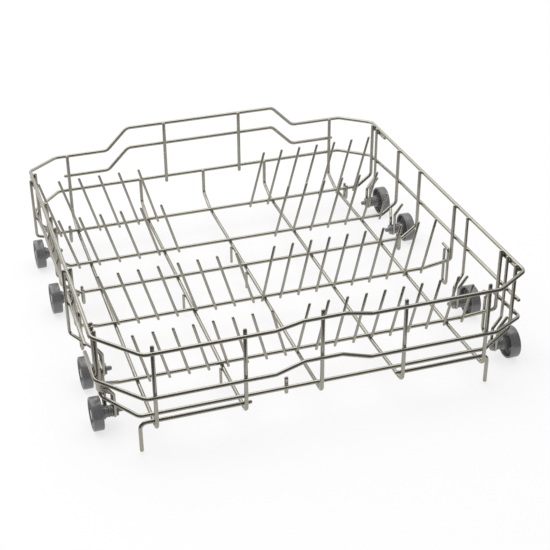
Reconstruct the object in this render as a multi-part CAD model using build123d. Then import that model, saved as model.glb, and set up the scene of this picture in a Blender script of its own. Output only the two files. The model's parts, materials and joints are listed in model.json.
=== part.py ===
from build123d import *
import os

# Lower dishwasher basket: a welded frame of coated wire on eight clip-on wheels.
# Millimetres. X to the right, Y to the back, Z up, origin on the floor under the middle.

# Wire diameters, and the hair gap that keeps welded wires apart
FRAME_WIRE = 4.8
TINE_WIRE = 3.6
HOOK_WIRE = 4.0
WELD_GAP = 0.02

# Top rim, at the middle of its wire
RIM_HALF_WIDTH = 258.0
RIM_HALF_DEPTH = 271.0
RIM_REAR_HEIGHT = 128.6
RIM_FRONT_HEIGHT = 137.8
RIM_BEND = 12.0

# Cut corners, shared by the rim and the rings; the front corners differ
REAR_CORNER_WIDTH = 41.0
REAR_CORNER_DEPTH = 34.0
FRONT_CORNER_WIDTH = 46.0
LEFT_CORNER_DEPTH = 54.0
RIGHT_CORNER_DEPTH = 30.0

# Raised stretch at the back and hand hump at the front
RAISE_HEIGHT = 31.0
RAISE_TOP = 110.5
RAISE_RAMP = 31.0
HUMP_CENTRE = -5.0
HUMP_HEIGHT = 6.5
HUMP_TOP = 25.0
HUMP_RAMP = 32.0

# Short ties under the rim beside the corner wheels, from back to front
RIM_TIES = {
    "left": ((228.0, 190.0), (-183.0, -208.0)),
    "right": ((228.0, 186.0), (-183.0, -229.0)),
}

# Rear rail under the raised stretch, and the two bars that carry it
REAR_RAIL_DROP = 31.0
REAR_RAIL_OVERHANG = 4.5
REAR_BAR_X = 56.5
REAR_BAR_OVERHANG = 5.5

# Middle ring round the back and sides, open at the front
MIDDLE_REAR_HEIGHT = 74.6
LEFT_MIDDLE_CORNER = 67.0
RIGHT_MIDDLE_CORNER = 74.6
MIDDLE_KINK_Y = 138.0
MIDDLE_KINK_HEIGHT = 82.4
MIDDLE_END_HEIGHT = 93.0
LEFT_MIDDLE_END = -160.0
RIGHT_MIDDLE_END = -235.0

# Front ring, with its own hump and short legs back along the sides
RING_HEIGHT = 79.0
LEFT_RING_CORNER = 79.0
RIGHT_RING_CORNER = 73.0
RING_LEG_DROP = 3.5
RING_LEG = 64.0
RING_HUMP_HEIGHT = 11.0
RING_HUMP_TOP = 22.0
RING_HUMP_RAMP = 35.0

# Lower front rail with upturned ends, foot wires and the short stub behind the rail
RAIL_HEIGHT = 51.0
LEFT_RAIL_CORNER = 219.0
RIGHT_RAIL_CORNER = 204.0
LEFT_RAIL_END = -209.0
RIGHT_RAIL_END = -229.0
FOOT_WIRE_HEIGHT = 41.0
FOOT_INNER_X = 90.0
LEFT_FOOT_X = 219.0
RIGHT_FOOT_X = 208.0
FOOT_CLEARANCE = 1.5
STUB_X = -45.0
STUB_HALF_LENGTH = 9.5

# Floor grid: long wires run front to back under the cross wires
GRID_HEIGHT = 30.8
LONG_WIRE_INNER_X = 96.0
LONG_WIRE_INSET = 57.5
LONG_REAR_BEND_HEIGHT = 39.5
LONG_REAR_RUN = 12.0
LONG_FRONT_RISE = 4.0
LONG_CENTRE_RISE = 12.0
LONG_FRONT_OVERHANG = 5.3
GRID_BEND = 8.0

# Pins that hang beside two of the long wires, by their distance from the middle
FLOOR_PINS = {"long_wire_2": (5.0, -173.0), "long_wire_3": (107.0, 34.0)}
PIN_RISE = 1.5
PIN_BOTTOM = 5.0

# Cross wires from back to front, and how far the legs of two of them stand forward
CROSS_WIRE_Y = {"rear": 222.0, "second": 124.0, "middle": 50.0, "third": -37.0, "front": -165.0}
LEG_FORWARD = {"third": 24.0, "front": 26.0}
LEG_RUN = 22.0
LEG_RISE = 17.0
FORWARD_LEG_RUN = 28.0
FORWARD_LEG_RISE = 22.0
LEG_OVERHANG = 1.0

# Tine rows: cross wire, side, first and last foot, pitch, lean, top, top of the last tine
TINE_ROWS = (
    ("rear", "left", -226.0, -83.0, 28.6, -25.0, 117.5, 117.5),
    ("rear", "right", 58.0, 223.0, 27.5, 23.0, 116.0, 116.0),
    ("second", "left", -217.0, -76.0, 28.2, -23.0, 108.0, 108.0),
    ("second", "right", 65.0, 225.8, 26.8, 21.0, 107.0, 70.0),
    ("third", "left", -196.0, -16.8, 25.6, -23.0, 108.5, 108.5),
    ("third", "right", -6.0, 219.9, 25.1, 18.0, 109.5, 109.5),
    ("front", "left", -186.0, -15.9, 24.3, -18.0, 98.5, 98.5),
    ("front", "right", -1.5, 219.0, 24.5, 16.0, 98.5, 83.0),
)
TINE_FOOT_DROP = 2.5
TINE_FOOT_LIFT = 0.7

# Wheels from back to front; the two sides are staggered, and each wheel stands out from the rim
WHEEL_Y = {"left": (193.0, 67.0, -115.0, -200.0), "right": (190.0, 100.0, -113.0, -217.0)}
WHEEL_OUTSET = {"left": (10.5, 9.0, 3.0, 6.5), "right": (6.5, 8.0, 7.5, 10.5)}
WHEEL_RADIUS = 20.3
WHEEL_WIDTH = 12.5
WHEEL_RIM = 3.1
WHEEL_RECESS = 2.4
WHEEL_WEB = 2.8
WHEEL_EDGE = 1.0
BOSS_WALL = 2.8
AXLE_RADIUS = 4.5
AXLE_CLEARANCE = 0.05
AXLE_PLAY = 0.2
HEAD_RADIUS = 6.0
HEAD_THICKNESS = 1.8

# Clip-on hub: collar next to the wheel, body, neck for the wire and end flange
COLLAR_RADIUS = 8.7
COLLAR_LENGTH = 3.2
HUB_RADIUS = 7.2
HUB_LENGTH = 9.3
NECK_RADIUS = 4.6
NECK_CLEARANCE = 0.2
FLANGE_LENGTH = 2.1
HUB_EDGE = 0.6
TAIL_RADIUS = 3.0
TAIL_LENGTH = 7.0

# Wheel carriers: upright beside the rim, slant, loop round the hub neck and a free end.
# Each upright stands inside or outside the rim, so far behind its axle, and bends at a height.
# The second wheel on the right has a hairpin instead, welded to the slant of a cross wire.
INSIDE = -1
OUTSIDE = 1
CARRIER_UPRIGHT = {
    "left": ((OUTSIDE, 9.0, 45.0), (INSIDE, 16.0, 45.0), (OUTSIDE, 53.0, 46.0), (INSIDE, 1.0, 53.0)),
    "right": ((INSIDE, 17.0, 53.0), None, (INSIDE, 15.0, 53.0), (INSIDE, 10.0, 53.0)),
}
HAIRPIN_WIRE = "second"
CARRIER_LOOP_HEIGHT = 40.0
CARRIER_FREE_HEIGHT = 47.0
CARRIER_FREE_RISE = 15.0
CARRIER_FREE_OUT = 10.5
HAIRPIN_SHARE = 0.55
HAIRPIN_HEIGHT = 36.0
HOOK_BEND = 4.5

# Hooks astride four of the cross wires: wire and distance in from the end of its straight run
HOOK_PLACES = (("rear", 19.0), ("middle", 5.0), ("third", 5.0), ("front", 8.0))
HOOK_BOTTOM = 17.0
HOOK_SHORT_RISE = 7.0
HOOK_TALL_TOP = 72.0
HOOK_BAR = 17.0

SIDES = {"left": -1, "right": 1}
CORNER_DEPTH = {"left": LEFT_CORNER_DEPTH, "right": RIGHT_CORNER_DEPTH}
MIDDLE_END = {"left": LEFT_MIDDLE_END, "right": RIGHT_MIDDLE_END}
MIDDLE_CORNER = {"left": LEFT_MIDDLE_CORNER, "right": RIGHT_MIDDLE_CORNER}
RING_CORNER = {"left": LEFT_RING_CORNER, "right": RIGHT_RING_CORNER}
RAIL_CORNER = {"left": LEFT_RAIL_CORNER, "right": RIGHT_RAIL_CORNER}
RAIL_END = {"left": LEFT_RAIL_END, "right": RIGHT_RAIL_END}
FOOT_X = {"left": LEFT_FOOT_X, "right": RIGHT_FOOT_X}

# Places that follow from the sizes above
FRAME_TOUCH = FRAME_WIRE + WELD_GAP
HOOK_TOUCH = (FRAME_WIRE + HOOK_WIRE) / 2 + WELD_GAP
TINE_TOUCH = (FRAME_WIRE + TINE_WIRE) / 2 + WELD_GAP
LEG_X = RIM_HALF_WIDTH - FRAME_TOUCH
UPRIGHT_Y = RIM_HALF_DEPTH - FRAME_TOUCH
INNER_RAIL_Y = UPRIGHT_Y - FRAME_TOUCH
CROSS_Z = GRID_HEIGHT + FRAME_TOUCH / 2
LONG_Z = GRID_HEIGHT - FRAME_TOUCH / 2
LONG_WIRE_OUTER_X = RIM_HALF_WIDTH - LONG_WIRE_INSET
LONG_WIRE_X = (-LONG_WIRE_OUTER_X, -LONG_WIRE_INNER_X, 0.0, LONG_WIRE_INNER_X, LONG_WIRE_OUTER_X)
BORE_RADIUS = AXLE_RADIUS + AXLE_CLEARANCE
BOSS_RADIUS = BORE_RADIUS + BOSS_WALL
COLLAR_START = WHEEL_WIDTH + AXLE_PLAY * 2
NECK_START = COLLAR_START + COLLAR_LENGTH + HUB_LENGTH
NECK_LENGTH = HOOK_WIRE + NECK_CLEARANCE * 2
LOOP_RADIUS = NECK_RADIUS + HOOK_WIRE / 2 + WELD_GAP


def rim_height(y):
    """Height of the rim, which climbs evenly from back to front."""
    share = (RIM_HALF_DEPTH - y) / (2 * RIM_HALF_DEPTH)
    return RIM_REAR_HEIGHT + share * (RIM_FRONT_HEIGHT - RIM_REAR_HEIGHT)


def corner_y(side):
    """Where a side wire turns into the front corner."""
    return CORNER_DEPTH[side] - RIM_HALF_DEPTH


def bent_wire(points, diameter, bend, rounded=True):
    """A round wire along straight runs and tangent bends, with rounded ends."""
    path = FilletPolyline(*points, radius=bend) if len(points) > 2 else Line(*points)
    section = Plane(origin=path @ 0, z_dir=path % 0) * Circle(diameter / 2)
    wire = sweep(section, path=path)
    if rounded:
        for end in (points[0], points[-1]):
            wire = wire + Pos(*end) * Sphere(diameter / 2)
    return wire


def joined(halves):
    """Two half rings butted together into one wire."""
    return halves[0] + halves[1]


def hump_points(sign, y, height, rise, top, ramp):
    """Front run of a ring from its flat stretch up to the middle of its hump."""
    return [
        (HUMP_CENTRE + sign * (top + ramp), y, height),
        (HUMP_CENTRE + sign * top, y, height + rise),
        (HUMP_CENTRE, y, height + rise),
    ]


def rim_tie(sign, ends):
    """Short wire along the underside of the rim."""
    points = [(sign * RIM_HALF_WIDTH, y, rim_height(y) - FRAME_TOUCH) for y in ends]
    return bent_wire(points, FRAME_WIRE, RIM_BEND)


def top_rim():
    """Closed rim, raised behind, with cut corners and a low hump in front, and its four ties."""
    halves = []
    for side, sign in SIDES.items():
        rear_y = RIM_HALF_DEPTH - REAR_CORNER_DEPTH
        points = [
            (HUMP_CENTRE, RIM_HALF_DEPTH, RIM_REAR_HEIGHT + RAISE_HEIGHT),
            (sign * RAISE_TOP, RIM_HALF_DEPTH, RIM_REAR_HEIGHT + RAISE_HEIGHT),
            (sign * (RAISE_TOP + RAISE_RAMP), RIM_HALF_DEPTH, RIM_REAR_HEIGHT),
            (sign * (RIM_HALF_WIDTH - REAR_CORNER_WIDTH), RIM_HALF_DEPTH, RIM_REAR_HEIGHT),
            (sign * RIM_HALF_WIDTH, rear_y, rim_height(rear_y)),
            (sign * RIM_HALF_WIDTH, corner_y(side), rim_height(corner_y(side))),
            (sign * (RIM_HALF_WIDTH - FRONT_CORNER_WIDTH), -RIM_HALF_DEPTH, RIM_FRONT_HEIGHT),
        ]
        points += hump_points(sign, -RIM_HALF_DEPTH, RIM_FRONT_HEIGHT, HUMP_HEIGHT, HUMP_TOP, HUMP_RAMP)
        halves.append(bent_wire(points, FRAME_WIRE, RIM_BEND, rounded=False))
    ties = [rim_tie(SIDES[side], ends) for side in SIDES for ends in RIM_TIES[side]]
    return Compound(children=[joined(halves), *ties])


def middle_height(y):
    """Height of the middle ring along a side, in front of its kink."""
    share = (MIDDLE_KINK_Y - y) / (MIDDLE_KINK_Y - RIGHT_MIDDLE_END)
    return MIDDLE_KINK_HEIGHT + share * (MIDDLE_END_HEIGHT - MIDDLE_KINK_HEIGHT)


def middle_ring():
    """Open ring round the back and both sides, with free front ends."""
    sides = []
    for side, sign in SIDES.items():
        end_y = MIDDLE_END[side]
        sides.append([
            (sign * (RIM_HALF_WIDTH - REAR_CORNER_WIDTH), RIM_HALF_DEPTH, MIDDLE_REAR_HEIGHT),
            (sign * RIM_HALF_WIDTH, RIM_HALF_DEPTH - REAR_CORNER_DEPTH, MIDDLE_CORNER[side]),
            (sign * RIM_HALF_WIDTH, MIDDLE_KINK_Y, MIDDLE_KINK_HEIGHT),
            (sign * RIM_HALF_WIDTH, end_y, middle_height(end_y)),
        ])
    return bent_wire(sides[0][::-1] + sides[1], FRAME_WIRE, RIM_BEND)


def rear_rail():
    """Rail under the raised stretch, ending at the two outer rear legs."""
    height = RIM_REAR_HEIGHT - REAR_RAIL_DROP
    right = [
        (RAISE_TOP, RIM_HALF_DEPTH, height + RAISE_HEIGHT),
        (RAISE_TOP + RAISE_RAMP, RIM_HALF_DEPTH, height),
        (LONG_WIRE_OUTER_X + REAR_RAIL_OVERHANG, RIM_HALF_DEPTH, height),
    ]
    left = [(-x, y, z) for x, y, z in reversed(right)]
    return bent_wire(left + right, FRAME_WIRE, RIM_BEND)


def rear_bar(sign):
    """Upright bar from the middle ring to the raised rim."""
    x = sign * REAR_BAR_X
    low = (x, UPRIGHT_Y, MIDDLE_REAR_HEIGHT - REAR_BAR_OVERHANG)
    high = (x, UPRIGHT_Y, RIM_REAR_HEIGHT + RAISE_HEIGHT + LEG_OVERHANG)
    return bent_wire([low, high], FRAME_WIRE, GRID_BEND)


def front_ring():
    """Front ring with its hump and a short leg back along each side."""
    halves = []
    for side, sign in SIDES.items():
        points = [
            (sign * RIM_HALF_WIDTH, corner_y(side) + RING_LEG, RING_CORNER[side] - RING_LEG_DROP),
            (sign * RIM_HALF_WIDTH, corner_y(side), RING_CORNER[side]),
            (sign * (RIM_HALF_WIDTH - FRONT_CORNER_WIDTH), -RIM_HALF_DEPTH, RING_HEIGHT),
        ]
        points += hump_points(
            sign, -RIM_HALF_DEPTH, RING_HEIGHT, RING_HUMP_HEIGHT, RING_HUMP_TOP, RING_HUMP_RAMP
        )
        half = bent_wire(points, FRAME_WIRE, RIM_BEND, rounded=False)
        halves.append(half + Pos(*points[0]) * Sphere(FRAME_WIRE / 2))
    return joined(halves)


def lower_rail():
    """Rail across the inside of the front uprights, bent back and up to the rim at both ends."""
    ends = []
    for side, sign in SIDES.items():
        end_y = RAIL_END[side]
        ends.append([
            (sign * RAIL_CORNER[side], -INNER_RAIL_Y, RAIL_HEIGHT),
            (sign * LEG_X, end_y, RAIL_HEIGHT),
            (sign * LEG_X, end_y, rim_height(end_y) + LEG_OVERHANG),
        ])
    return bent_wire(ends[0][::-1] + ends[1], FRAME_WIRE, GRID_BEND)


def foot_wire(side, sign):
    """Wire inside the front uprights whose outer end is a foot."""
    points = [
        (sign * FOOT_INNER_X, -INNER_RAIL_Y, FOOT_WIRE_HEIGHT),
        (sign * FOOT_X[side], -INNER_RAIL_Y, FOOT_WIRE_HEIGHT),
        (sign * FOOT_X[side], -INNER_RAIL_Y, FOOT_CLEARANCE + FRAME_WIRE / 2),
    ]
    return bent_wire(points, FRAME_WIRE, GRID_BEND)


def front_stub():
    """Short stub welded upright behind the lower front rail."""
    y = FRAME_TOUCH - INNER_RAIL_Y
    low = (STUB_X, y, RAIL_HEIGHT - STUB_HALF_LENGTH)
    high = (STUB_X, y, RAIL_HEIGHT + STUB_HALF_LENGTH)
    return bent_wire([low, high], FRAME_WIRE, GRID_BEND)


def floor_pin(x, y):
    """Pin that hangs on the left of a long wire."""
    side_x = x - TINE_TOUCH
    high = (side_x, y, LONG_Z + PIN_RISE)
    low = (side_x, y, PIN_BOTTOM + TINE_WIRE / 2)
    return bent_wire([high, low], TINE_WIRE, GRID_BEND)


def long_wire(name, x):
    """Floor wire bent up into a rear leg and a front upright, with any pins that hang from it."""
    centre = x == 0.0
    outer = abs(x) == LONG_WIRE_OUTER_X
    rear_top = rim_height(UPRIGHT_Y) if outer else MIDDLE_REAR_HEIGHT
    front_top = RIM_FRONT_HEIGHT + LONG_FRONT_OVERHANG + (HUMP_HEIGHT if centre else 0.0)
    front_x = HUMP_CENTRE if centre else x
    front_low = LONG_Z + (LONG_CENTRE_RISE if centre else LONG_FRONT_RISE)
    points = [
        (x, UPRIGHT_Y, rear_top + LEG_OVERHANG),
        (x, UPRIGHT_Y, LONG_REAR_BEND_HEIGHT),
        (x, CROSS_WIRE_Y["rear"] + LONG_REAR_RUN, LONG_Z),
        (x, CROSS_WIRE_Y["front"] - LONG_REAR_RUN, LONG_Z),
        (front_x, -UPRIGHT_Y, front_low),
        (front_x, -UPRIGHT_Y, front_top),
    ]
    pins = [floor_pin(x, y) for y in FLOOR_PINS.get(name, ())]
    return Compound(children=[bent_wire(points, FRAME_WIRE, GRID_BEND), *pins])


def cross_leg(wire, sign):
    """Points of one end of a cross wire: flat end, foot of the leg, top of the leg."""
    y = CROSS_WIRE_Y[wire]
    forward = wire in LEG_FORWARD
    leg_y = y - LEG_FORWARD.get(wire, 0.0)
    run = FORWARD_LEG_RUN if forward else LEG_RUN
    rise = FORWARD_LEG_RISE if forward else LEG_RISE
    return [
        (sign * (LEG_X - run), y, CROSS_Z),
        (sign * LEG_X, leg_y, CROSS_Z + rise),
        (sign * LEG_X, leg_y, rim_height(leg_y) + LEG_OVERHANG),
    ]


def cross_wire(wire):
    """Floor wire across the basket, slanted and bent up into a leg at each end."""
    points = cross_leg(wire, -1)[::-1] + cross_leg(wire, 1)
    return bent_wire(points, FRAME_WIRE, GRID_BEND)


def tine(foot, top):
    """A straight wire from its foot to a domed tip."""
    axis = Vector(*top) - Vector(*foot)
    radius = TINE_WIRE / 2
    shoulder = axis.length - radius
    outline = Polyline((0, shoulder), (0, 0), (radius, 0), (radius, shoulder))
    dome = RadiusArc((radius, shoulder), (0, axis.length), -radius)
    spine = Line((0, axis.length), (0, shoulder))
    profile = make_face(Curve() + [outline, dome, spine])
    turned = revolve(Plane.XZ * profile, Axis.Z)
    return Plane(origin=foot, z_dir=axis) * turned


def tine_row(wire, first, last, pitch, lean, top_height, last_height):
    """A row of leaning tines on the front of a cross wire."""
    y = CROSS_WIRE_Y[wire] - TINE_TOUCH
    count = round((last - first) / pitch) + 1
    tines = []
    for step in range(count):
        x = first + step * pitch
        over_long_wire = any(abs(x - place) < FRAME_TOUCH for place in LONG_WIRE_X)
        low = GRID_HEIGHT + (TINE_FOOT_LIFT if over_long_wire else -TINE_FOOT_DROP)
        high = last_height if step == count - 1 else top_height
        slope = lean * (high - low) / (top_height - low)
        tines.append(tine((x, y, low), (x + slope, y, high)))
    return Compound(children=tines)


def wheel_outer_x(side, place):
    """How far a wheel's outer face stands from the middle of the basket."""
    return RIM_HALF_WIDTH + WHEEL_OUTSET[side][place]


def turned_about_axle(outline, side, place):
    """Revolve an outline of (distance in from the wheel's outer face, radius) about an axle."""
    profile = make_face(Polyline(*outline, close=True))
    turned = revolve(Plane.XY * profile, Axis.X)
    sign = SIDES[side]
    placed = Plane(
        origin=(sign * wheel_outer_x(side, place), WHEEL_Y[side][place], WHEEL_RADIUS),
        x_dir=(-sign, 0, 0),
        z_dir=(0, 0, 1),
    )
    return placed * turned


def wheel(side, place):
    """Cup-shaped wheel: tread ring, recessed web and bored boss."""
    inside = WHEEL_RADIUS - WHEEL_RIM
    web_back = WHEEL_RECESS + WHEEL_WEB
    boss_end = COLLAR_START - AXLE_PLAY
    outline = [
        (WHEEL_RECESS, BORE_RADIUS),
        (WHEEL_RECESS, inside),
        (0, inside),
        (0, WHEEL_RADIUS - WHEEL_EDGE),
        (WHEEL_EDGE, WHEEL_RADIUS),
        (WHEEL_WIDTH - WHEEL_EDGE, WHEEL_RADIUS),
        (WHEEL_WIDTH, WHEEL_RADIUS - WHEEL_EDGE),
        (WHEEL_WIDTH, inside),
        (web_back, inside),
        (web_back, BOSS_RADIUS),
        (boss_end, BOSS_RADIUS),
        (boss_end, BORE_RADIUS),
    ]
    return turned_about_axle(outline, side, place)


def hub(side, place):
    """Fixed hub: axle for the wheel, neck that sits in the carrier and a short tail."""
    head_end = WHEEL_RECESS - AXLE_PLAY
    body_start = COLLAR_START + COLLAR_LENGTH
    neck_end = NECK_START + NECK_LENGTH
    flange_end = neck_end + FLANGE_LENGTH
    tail_end = flange_end + TAIL_LENGTH
    outline = [
        (head_end - HEAD_THICKNESS, 0),
        (head_end - HEAD_THICKNESS, HEAD_RADIUS - HUB_EDGE),
        (head_end - HEAD_THICKNESS + HUB_EDGE, HEAD_RADIUS),
        (head_end, HEAD_RADIUS),
        (head_end, AXLE_RADIUS),
        (COLLAR_START, AXLE_RADIUS),
        (COLLAR_START, COLLAR_RADIUS),
        (body_start, COLLAR_RADIUS),
        (body_start, HUB_RADIUS),
        (NECK_START, HUB_RADIUS),
        (NECK_START, NECK_RADIUS),
        (neck_end, NECK_RADIUS),
        (neck_end, HUB_RADIUS),
        (flange_end - HUB_EDGE, HUB_RADIUS),
        (flange_end, HUB_RADIUS - HUB_EDGE),
        (flange_end, TAIL_RADIUS),
        (tail_end - TAIL_RADIUS / 2, TAIL_RADIUS),
        (tail_end, TAIL_RADIUS / 2),
        (tail_end, 0),
    ]
    return turned_about_axle(outline, side, place)


def loop_x(side, place):
    """Middle of a hub's neck, where the carrier's loop lies, as seen on the right."""
    return wheel_outer_x(side, place) - NECK_START - NECK_LENGTH / 2


def carrier_start(side, place):
    """Points of a carrier from what holds it down to the top of its loop."""
    sign = SIDES[side]
    axle_y = WHEEL_Y[side][place]
    upright = CARRIER_UPRIGHT[side][place]
    if upright:
        face, setback, bend_height = upright
        upright_x = sign * (RIM_HALF_WIDTH + face * HOOK_TOUCH)
        upright_y = axle_y + setback
        return [
            (upright_x, upright_y, rim_height(upright_y) + LEG_OVERHANG),
            (upright_x, upright_y, bend_height),
            (sign * loop_x(side, place), axle_y + LOOP_RADIUS, CARRIER_LOOP_HEIGHT),
        ]
    flat_end, leg_foot = cross_leg(HAIRPIN_WIRE, sign)[:2]
    weld = Vector(*flat_end) + (Vector(*leg_foot) - Vector(*flat_end)) * HAIRPIN_SHARE
    return [
        (weld.X, weld.Y - HOOK_TOUCH, weld.Z),
        (sign * loop_x(side, place), axle_y + LOOP_RADIUS, HAIRPIN_HEIGHT),
    ]


def carrier(side, place):
    """Bent wire that hangs from the frame and loops under a hub's neck."""
    sign = SIDES[side]
    axle_y = WHEEL_Y[side][place]
    start = carrier_start(side, place)
    near_y = start[-1][1]
    far_y = 2 * axle_y - near_y
    loop_low = WHEEL_RADIUS - LOOP_RADIUS
    x = loop_x(side, place)
    loop = [
        (sign * x, near_y, loop_low),
        (sign * x, far_y, loop_low),
        (sign * x, far_y, CARRIER_FREE_HEIGHT),
        (sign * (x + CARRIER_FREE_OUT), far_y, CARRIER_FREE_HEIGHT + CARRIER_FREE_RISE),
    ]
    bends = [HOOK_BEND] * (len(start) - 1)
    bends += [LOOP_RADIUS - WELD_GAP] * 2
    bends += [HOOK_BEND]
    return bent_wire(start + loop, HOOK_WIRE, bends)


def hook(wire, setback, sign):
    """U-shaped hook astride the end of a cross wire; the front ones have a bar on top."""
    flat_end, leg_foot = cross_leg(wire, 1)[:2]
    slanted = wire in LEG_FORWARD
    if slanted:
        run = Vector(*leg_foot) - Vector(*flat_end)
        x = LEG_X - setback
        middle_y = leg_foot[1] - setback * run.Y / run.X
        half_gap = HOOK_TOUCH * (run.X ** 2 + run.Y ** 2) ** 0.5 / run.X
        back_top = HOOK_TALL_TOP - HOOK_WIRE - WELD_GAP
    else:
        x = flat_end[0] - setback
        middle_y = flat_end[1]
        half_gap = HOOK_TOUCH
        back_top = CROSS_Z + HOOK_SHORT_RISE
    back_y = middle_y + half_gap
    front_y = middle_y - half_gap
    points = [
        (sign * x, back_y, back_top - HOOK_WIRE / 2),
        (sign * x, back_y, HOOK_BOTTOM),
        (sign * x, front_y, HOOK_BOTTOM),
    ]
    bends = [half_gap - WELD_GAP] * 2
    if slanted:
        points.append((sign * x, front_y, HOOK_TALL_TOP))
        points.append((sign * x, front_y + HOOK_BAR, HOOK_TALL_TOP))
        bends.append(HOOK_BEND)
    else:
        points.append((sign * x, front_y, back_top - HOOK_WIRE / 2))
    return bent_wire(points, HOOK_WIRE, bends)


def basket():
    """Every piece of the basket by name."""
    pieces = {
        "top_rim": top_rim(),
        "middle_ring": middle_ring(),
        "rear_rail": rear_rail(),
        "front_ring": front_ring(),
        "lower_front_rail": lower_rail(),
        "front_stub": front_stub(),
    }
    for number, x in enumerate(LONG_WIRE_X, start=1):
        name = f"long_wire_{number}"
        pieces[name] = long_wire(name, x)
    for number, wire in enumerate(CROSS_WIRE_Y, start=1):
        pieces[f"cross_wire_{number}"] = cross_wire(wire)
    for wire, side, *row in TINE_ROWS:
        pieces[f"tines_{wire}_{side}"] = tine_row(wire, *row)
    for side, sign in SIDES.items():
        pieces[f"rear_bar_{side}"] = rear_bar(sign)
        pieces[f"foot_wire_{side}"] = foot_wire(side, sign)
        for number, (wire, setback) in enumerate(HOOK_PLACES, start=1):
            pieces[f"hook_{side}_{number}"] = hook(wire, setback, sign)
        for place in range(len(WHEEL_Y[side])):
            pieces[f"carrier_{side}_{place + 1}"] = carrier(side, place)
            pieces[f"hub_{side}_{place + 1}"] = hub(side, place)
            pieces[f"wheel_{side}_{place + 1}"] = wheel(side, place)
    return pieces


os.makedirs("parts", exist_ok=True)
for name, piece in basket().items():
    export_step(piece, f"parts/{name}.step")
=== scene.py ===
import json
import math
from collections import namedtuple

import bmesh
import bpy
from bpy.props import FloatProperty, FloatVectorProperty, IntProperty, PointerProperty
from bpy.types import Operator, Panel, PropertyGroup
from mathutils import Matrix, Vector
from mathutils.geometry import intersect_line_line


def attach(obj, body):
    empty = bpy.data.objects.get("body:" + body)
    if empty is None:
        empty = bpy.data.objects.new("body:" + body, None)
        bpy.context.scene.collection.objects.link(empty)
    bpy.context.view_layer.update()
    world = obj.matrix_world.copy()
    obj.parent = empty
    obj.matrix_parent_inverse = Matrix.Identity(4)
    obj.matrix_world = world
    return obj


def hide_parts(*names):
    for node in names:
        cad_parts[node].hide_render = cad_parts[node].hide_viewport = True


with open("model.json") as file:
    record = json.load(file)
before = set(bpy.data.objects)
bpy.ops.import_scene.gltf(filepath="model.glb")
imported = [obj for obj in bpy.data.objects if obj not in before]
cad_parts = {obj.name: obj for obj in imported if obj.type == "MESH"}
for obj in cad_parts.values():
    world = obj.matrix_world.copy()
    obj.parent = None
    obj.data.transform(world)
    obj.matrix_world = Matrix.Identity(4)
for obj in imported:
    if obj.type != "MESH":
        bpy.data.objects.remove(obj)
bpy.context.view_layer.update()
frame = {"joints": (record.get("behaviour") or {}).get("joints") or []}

bl_info = {
    "name": "Dishwasher Basket",
    "version": (1, 0, 0),
    "blender": (4, 5, 0),
    "location": "View3D > Sidebar > Basket",
    "description": "Lower dishwasher basket of bent and welded wire on moulded wheels",
    "category": "Object",
}

# Metres throughout. X to the right, Y to the back, Z up, floor at zero.

# Welds: welded wires stand a hair apart, as in the frame
WELD_GAP = 0.00002
WELD_REACH = 0.0004
WELD_SEGMENTS = 16
WELD_RINGS = 8

# Rim, rings and rails
RIM_HALF_WIDTH = 0.258
RIM_HALF_DEPTH = 0.271
RIM_REAR_HEIGHT = 0.1286
RIM_FRONT_HEIGHT = 0.1378
RIM_BEND = 0.012
REAR_CORNER_WIDTH = 0.041
REAR_CORNER_DEPTH = 0.034
FRONT_CORNER_WIDTH = 0.046
FRONT_CORNER_DEPTH = {"left": 0.054, "right": 0.030}
RAISE_HEIGHT = 0.031
RAISE_TOP = 0.1105
RAISE_RAMP = 0.031
HUMP_CENTRE = -0.005
RIM_HUMP = (0.0065, 0.025, 0.032)
RING_HUMP = (0.011, 0.022, 0.035)
RIM_TIES = {
    "left": ((0.228, 0.190), (-0.183, -0.208)),
    "right": ((0.228, 0.186), (-0.183, -0.229)),
}
REAR_RAIL_DROP = 0.031
REAR_RAIL_OVERHANG = 0.0045
REAR_BAR_X = 0.0565
REAR_BAR_OVERHANG = 0.0055
MIDDLE_REAR_HEIGHT = 0.0746
MIDDLE_CORNER_HEIGHT = {"left": 0.067, "right": 0.0746}
MIDDLE_KINK = (0.138, 0.0824)
MIDDLE_END_HEIGHT = 0.093
MIDDLE_END_Y = {"left": -0.160, "right": -0.235}
RING_HEIGHT = 0.079
RING_CORNER_HEIGHT = {"left": 0.079, "right": 0.073}
RING_LEG_DROP = 0.0035
RING_LEG = 0.064
RAIL_HEIGHT = 0.051
RAIL_CORNER_X = {"left": 0.219, "right": 0.204}
RAIL_END_Y = {"left": -0.209, "right": -0.229}
FOOT_WIRE_HEIGHT = 0.041
FOOT_INNER_X = 0.090
FOOT_OUTER_X = {"left": 0.219, "right": 0.208}
FOOT_CLEARANCE = 0.0015
STUB_X = -0.045
STUB_HALF_LENGTH = 0.0095

# Floor grid, legs and pins
GRID_HEIGHT = 0.0308
LONG_INNER_X = 0.096
LONG_INSET = 0.0575
LONG_REAR_BEND_HEIGHT = 0.0395
LONG_REAR_RUN = 0.012
LONG_FRONT_RISE = 0.004
LONG_CENTRE_RISE = 0.012
LONG_FRONT_OVERHANG = 0.0053
GRID_BEND = 0.008
FLOOR_PINS = {"long_wire_2": (0.005, -0.173), "long_wire_3": (0.107, 0.034)}
PIN_RISE = 0.0015
PIN_BOTTOM = 0.005
CROSS_Y = {"rear": 0.222, "second": 0.124, "middle": 0.050, "third": -0.037, "front": -0.165}
LEG_FORWARD = {"third": 0.024, "front": 0.026}
LEG_SLANT = (0.022, 0.017)
FORWARD_LEG_SLANT = (0.028, 0.022)
LEG_OVERHANG = 0.001

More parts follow.
